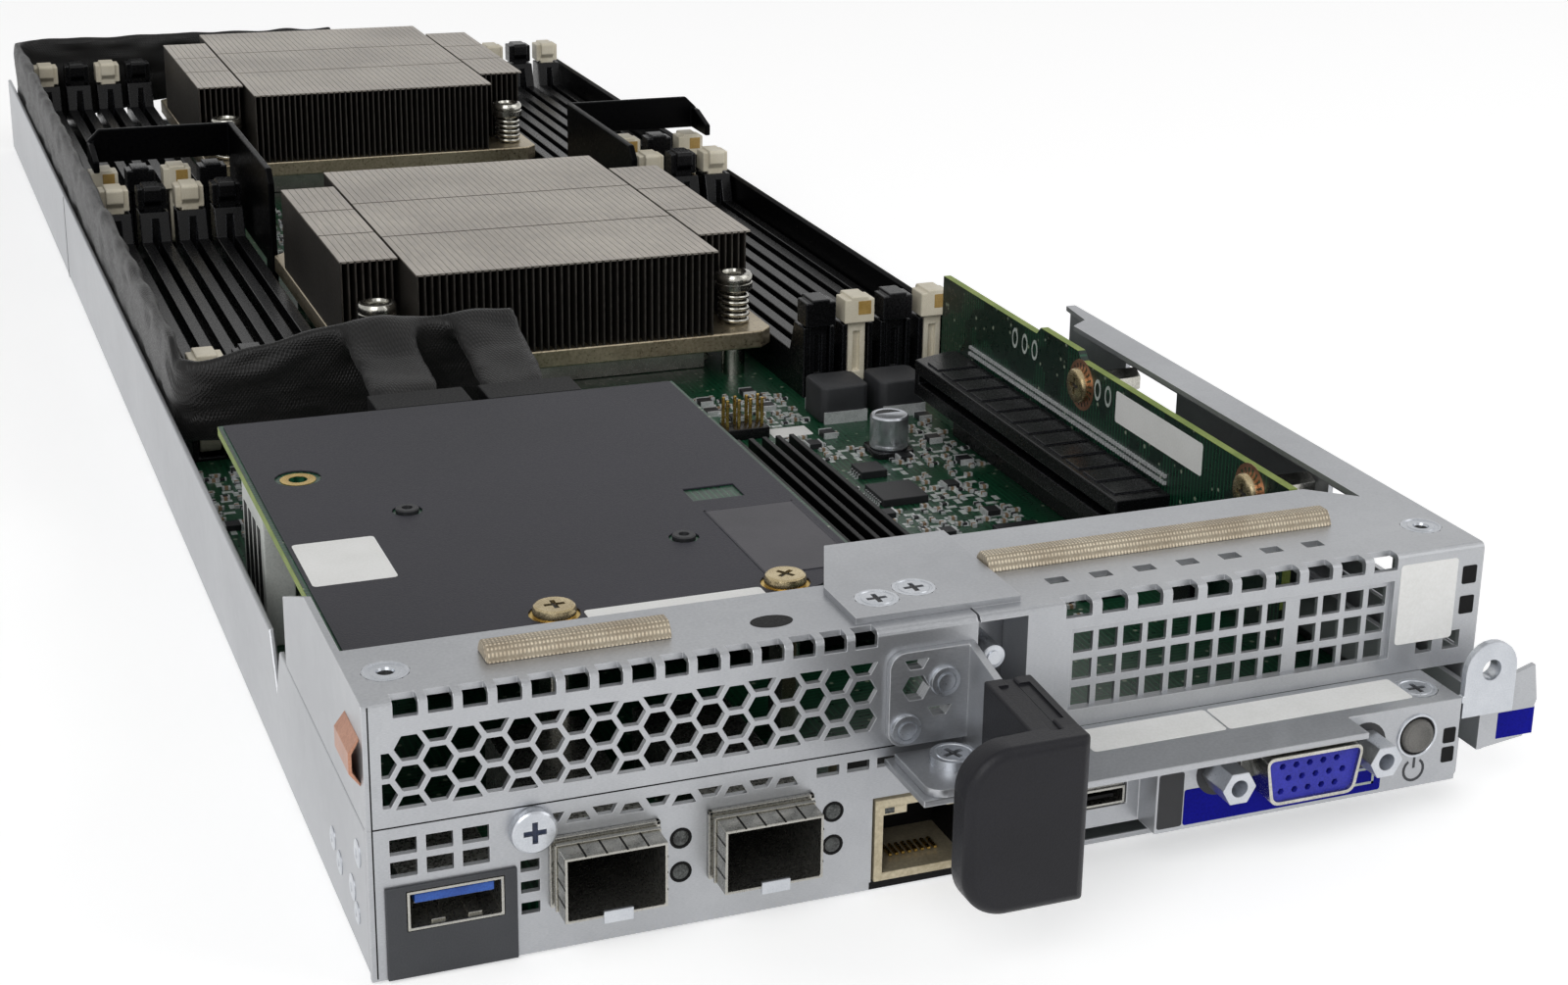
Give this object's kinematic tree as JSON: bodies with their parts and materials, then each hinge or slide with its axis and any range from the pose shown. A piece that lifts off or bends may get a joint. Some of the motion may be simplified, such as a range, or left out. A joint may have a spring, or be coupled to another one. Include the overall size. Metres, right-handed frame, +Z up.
{
  "type": "server node sled",
  "caption": "Half-width rack server sled: open sheet-metal tray with a vented port panel, pull handle, finned heat sinks, latching memory sockets, mezzanine card and slot riser.",
  "frame": {"origin": "middle of the tray underside", "axes": "+Y from the port panel to the back of the sled, +Z up out of the open tray, +X to the right when facing the port panel"},
  "size_m": [0.1817, 0.556, 0.0426],
  "materials": {
    "galvanised_steel": "zinc-coated sheet",
    "black_plastic": "moulded",
    "gloss_black": "smooth",
    "copper": "rolled",
    "conductive_fabric": "woven over foam",
    "nickel": "plated",
    "dark_bezel": "satin",
    "jack_metal": "tinned shield",
    "led_lens": "clear over dark",
    "port_blue": "moulded",
    "button_grey": "moulded",
    "board_green": "solder mask",
    "chip_black": "moulded",
    "black_fins": "black anodised",
    "fin_aluminium": "rolled fins",
    "cpu_lid": "plated lid",
    "latch_plastic": "moulded",
    "film_charcoal": "fine grain",
    "gold_screw": "plated",
    "cable_fabric": "braided sleeve"
  },
  "bodies": {
    "sled": {"air_baffles": "gloss_black", "back_connector": "black_plastic", "board_chips": "chip_black", "board_power_parts": "chip_black", "board_standoffs": "nickel", "cable_sleeve": "cable_fabric", "chipset_heatsink": "black_fins", "copper_contact": "copper", "cpu_sockets": "black_plastic", "emi_gaskets": "conductive_fabric", "grille_bracket": "galvanised_steel", "handle_bracket": "galvanised_steel", "handle_grip": "black_plastic", "handle_rivets": "nickel", "heatsink_front": "fin_aluminium", "heatsink_rear": "fin_aluminium", "heatsink_screws": "nickel", "io_box": "galvanised_steel", "io_panel": "galvanised_steel", "lock_ear": "galvanised_steel", "memory_sockets_front_left": "black_plastic", "memory_sockets_front_right": "black_plastic", "memory_sockets_rear_left": "black_plastic", "memory_sockets_rear_right": "black_plastic", "mezzanine_card": "board_green", "mezzanine_connectors": "black_plastic", "mezzanine_film": "film_charcoal", "mezzanine_screws": "gold_screw", "micro_usb_port": "nickel", "motherboard": "board_green", "processors": "cpu_lid", "riser_board": "board_green", "riser_screws": "gold_screw", "riser_slot": "black_plastic", "riser_socket": "black_plastic", "rj45_jack": "jack_metal", "sfp_cages": "nickel", "sheet_screws": "nickel", "slot_cage": "galvanised_steel", "slot_cover": "galvanised_steel", "socket_levers": "nickel", "status_leds": "led_lens", "tray": "galvanised_steel", "usb_bezel": "dark_bezel", "usb_port": "nickel", "vga_insert": "port_blue", "vga_jackscrews": "nickel", "vga_shell": "nickel", "wall_trim": "gloss_black"},
    "power_button": {"power_button": "button_grey"},
    "release_lever": {"release_lever": "galvanised_steel"},
    "latches_front_left_front": {"latches_front_left_front": "latch_plastic"},
    "latches_front_left_rear": {"latches_front_left_rear": "latch_plastic"},
    "latches_front_right_front": {"latches_front_right_front": "latch_plastic"},
    "latches_front_right_rear": {"latches_front_right_rear": "latch_plastic"},
    "latches_rear_left_front": {"latches_rear_left_front": "latch_plastic"},
    "latches_rear_left_rear": {"latches_rear_left_rear": "latch_plastic"},
    "latches_rear_right_front": {"latches_rear_right_front": "latch_plastic"},
    "latches_rear_right_rear": {"latches_rear_right_rear": "latch_plastic"}
  },
  "joints": [
    {"name": "power_press", "type": "slide", "parent": "sled", "child": "power_button", "axis": [0, 1, 0], "range_m": [0, 0.001], "stiffness_N_per_m": 400},
    {"name": "release_flex", "type": "hinge", "parent": "sled", "child": "release_lever", "pos_m": [0.0835, -0.2165, 0.01405], "axis": [0, 0, 1], "range_deg": [-4, 0], "stiffness_Nm_per_rad": 0.6},
    {"name": "front_left_front_tilt", "type": "hinge", "parent": "sled", "child": "latches_front_left_front", "pos_m": [-0.06325, -0.0664, 0.0103], "axis": [1, 0, 0], "range_deg": [0, 20]},
    {"name": "front_left_rear_tilt", "type": "hinge", "parent": "sled", "child": "latches_front_left_rear", "pos_m": [-0.06325, 0.0784, 0.0103], "axis": [-1, 0, 0], "range_deg": [0, 20]},
    {"name": "front_right_front_tilt", "type": "hinge", "parent": "sled", "child": "latches_front_right_front", "pos_m": [0.06725, -0.0664, 0.0103], "axis": [1, 0, 0], "range_deg": [0, 20]},
    {"name": "front_right_rear_tilt", "type": "hinge", "parent": "sled", "child": "latches_front_right_rear", "pos_m": [0.06725, 0.0784, 0.0103], "axis": [-1, 0, 0], "range_deg": [0, 20]},
    {"name": "rear_left_front_tilt", "type": "hinge", "parent": "sled", "child": "latches_rear_left_front", "pos_m": [-0.06325, 0.1006, 0.0103], "axis": [1, 0, 0], "range_deg": [0, 20]},
    {"name": "rear_left_rear_tilt", "type": "hinge", "parent": "sled", "child": "latches_rear_left_rear", "pos_m": [-0.06325, 0.2454, 0.0103], "axis": [-1, 0, 0], "range_deg": [0, 20]},
    {"name": "rear_right_front_tilt", "type": "hinge", "parent": "sled", "child": "latches_rear_right_front", "pos_m": [0.06725, 0.1006, 0.0103], "axis": [1, 0, 0], "range_deg": [0, 20]},
    {"name": "rear_right_rear_tilt", "type": "hinge", "parent": "sled", "child": "latches_rear_right_rear", "pos_m": [0.06725, 0.2454, 0.0103], "axis": [-1, 0, 0], "range_deg": [0, 20]}
  ]
}
